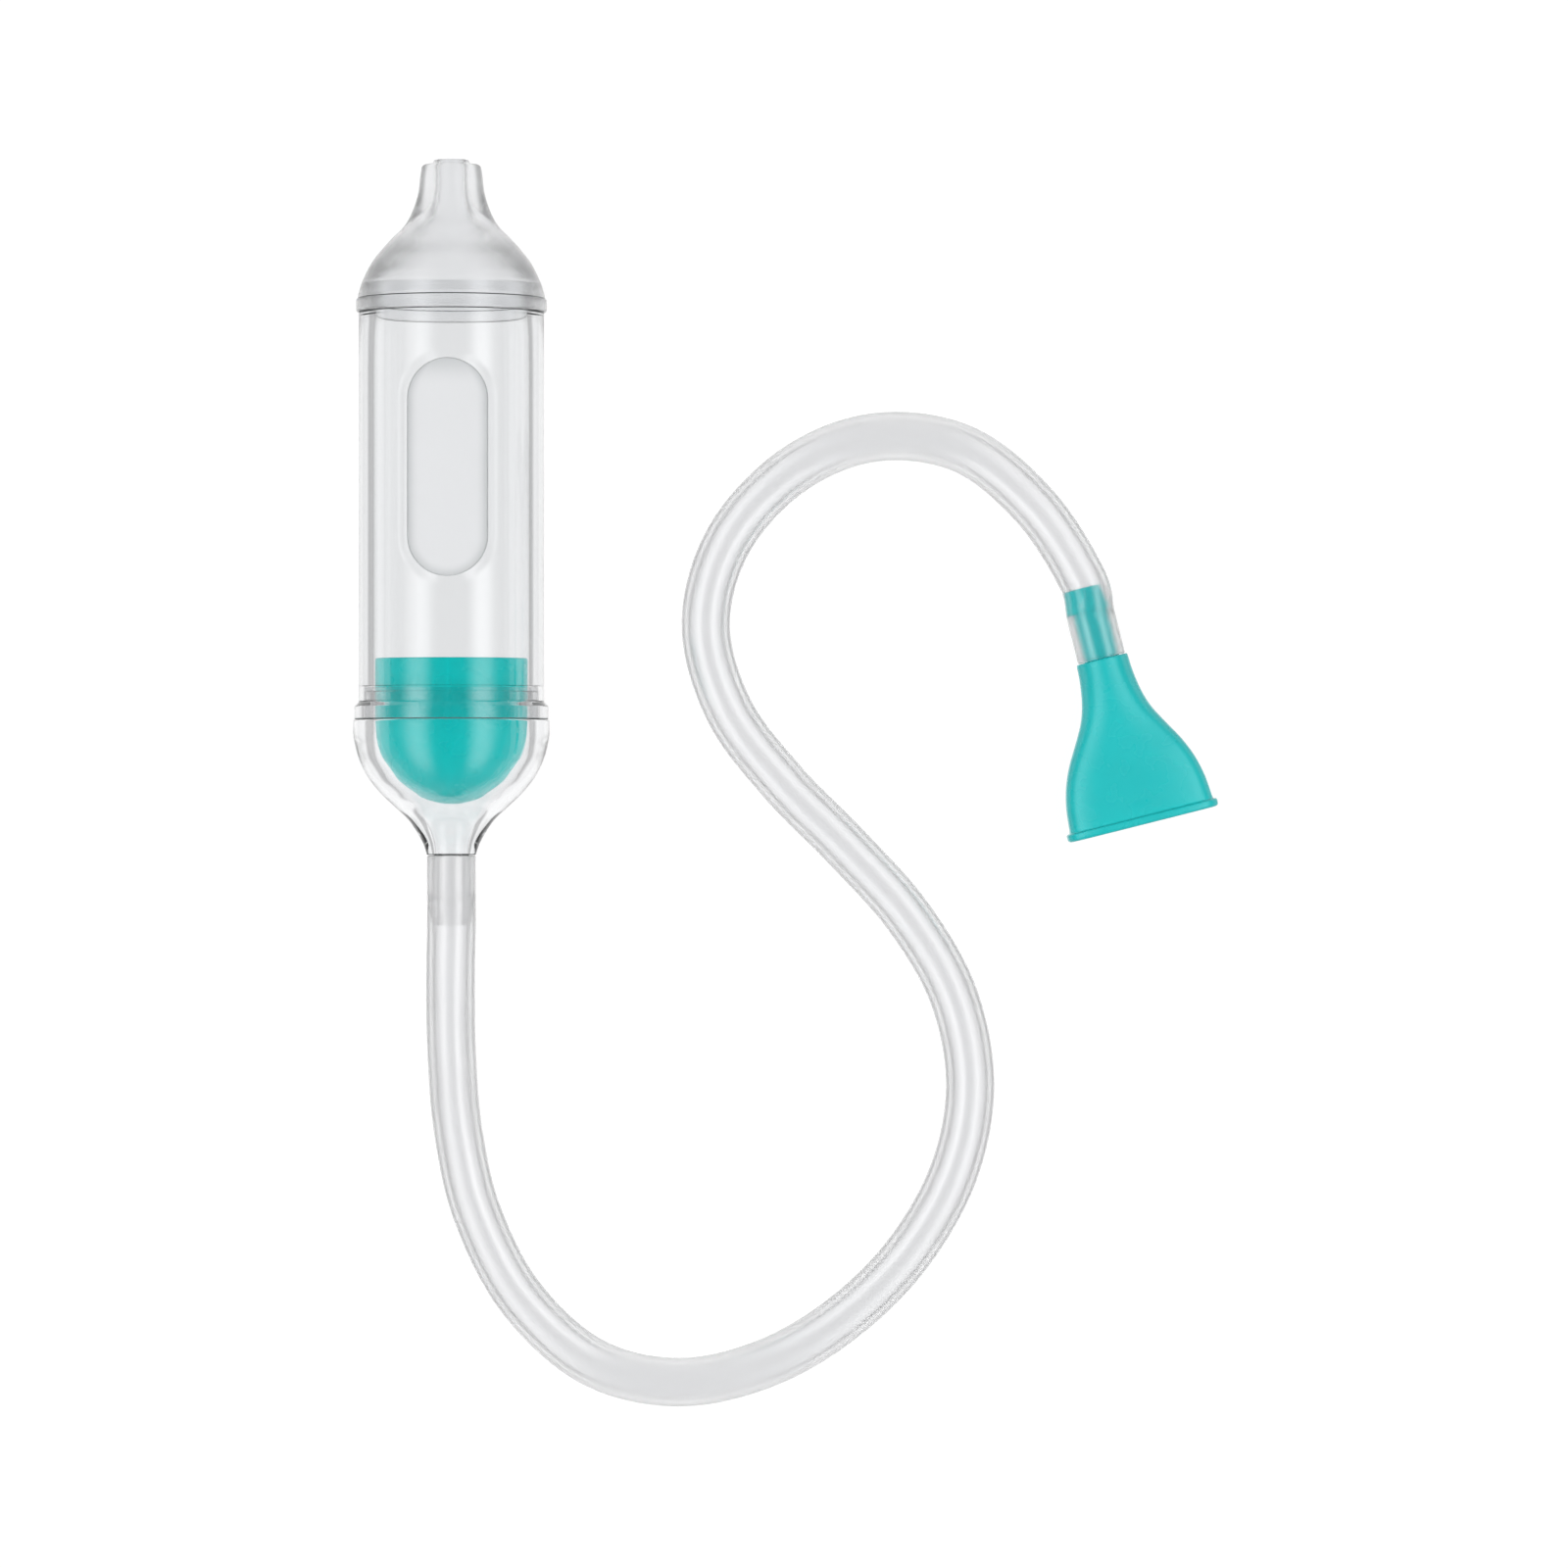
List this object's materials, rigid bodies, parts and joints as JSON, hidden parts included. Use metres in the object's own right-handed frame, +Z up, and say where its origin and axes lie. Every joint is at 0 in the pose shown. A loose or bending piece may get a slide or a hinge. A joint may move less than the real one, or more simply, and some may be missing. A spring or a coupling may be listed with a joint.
{
  "type": "nasal aspirator",
  "caption": "Manual baby nasal aspirator: clear suction chamber with soft nose tip, nested filter cup, clear outlet dome, and a flexible hose to a flattened mouthpiece",
  "frame": {"origin": "on the surface the object lies on, at the middle of the rectangle that everything but the hose covers", "axes": "+Z up from that surface, +Y along the chamber to the nose tip, +X across to the mouthpiece"},
  "size_m": [0.1416, 0.2042, 0.032],
  "materials": {
    "clear_plastic": "polished, see-through",
    "tip_silicone": "satin, translucent",
    "hose_silicone": "glossy, see-through",
    "seal_silicone": "satin, translucent",
    "frosted_pad": "frosted",
    "teal_plastic": "smooth, softly glossy",
    "foam": "open-cell foam"
  },
  "bodies": {
    "outlet": {"outlet_dome": "clear_plastic", "seal_ring": "seal_silicone", "hose": "hose_silicone"},
    "chamber": {"chamber": "clear_plastic", "thumb_pad": "frosted_pad"},
    "nose_tip": {"nose_tip": "tip_silicone"},
    "filter_cup": {"filter_cup": "teal_plastic"},
    "filter": {"filter_foam": "foam"},
    "mouthpiece": {"mouthpiece": "teal_plastic"}
  },
  "joints": [
    {"name": "chamber_pull", "type": "slide", "parent": "outlet", "child": "chamber", "axis": [0, 1, 0], "range_m": [0, 0.05]},
    {"name": "nose_tip_pull", "type": "slide", "parent": "chamber", "child": "nose_tip", "axis": [0, 1, 0], "range_m": [0, 0.03]},
    {"name": "filter_cup_pull", "type": "slide", "parent": "outlet", "child": "filter_cup", "axis": [0, 1, 0], "range_m": [0, 0.024]},
    {"name": "filter_pull", "type": "slide", "parent": "filter_cup", "child": "filter", "axis": [0, 1, 0], "range_m": [0, 0.014]},
    {"name": "mouthpiece_pull", "type": "slide", "parent": "outlet", "child": "mouthpiece", "axis": [0.2445, -0.9697, 0], "range_m": [0, 0.022]}
  ]
}
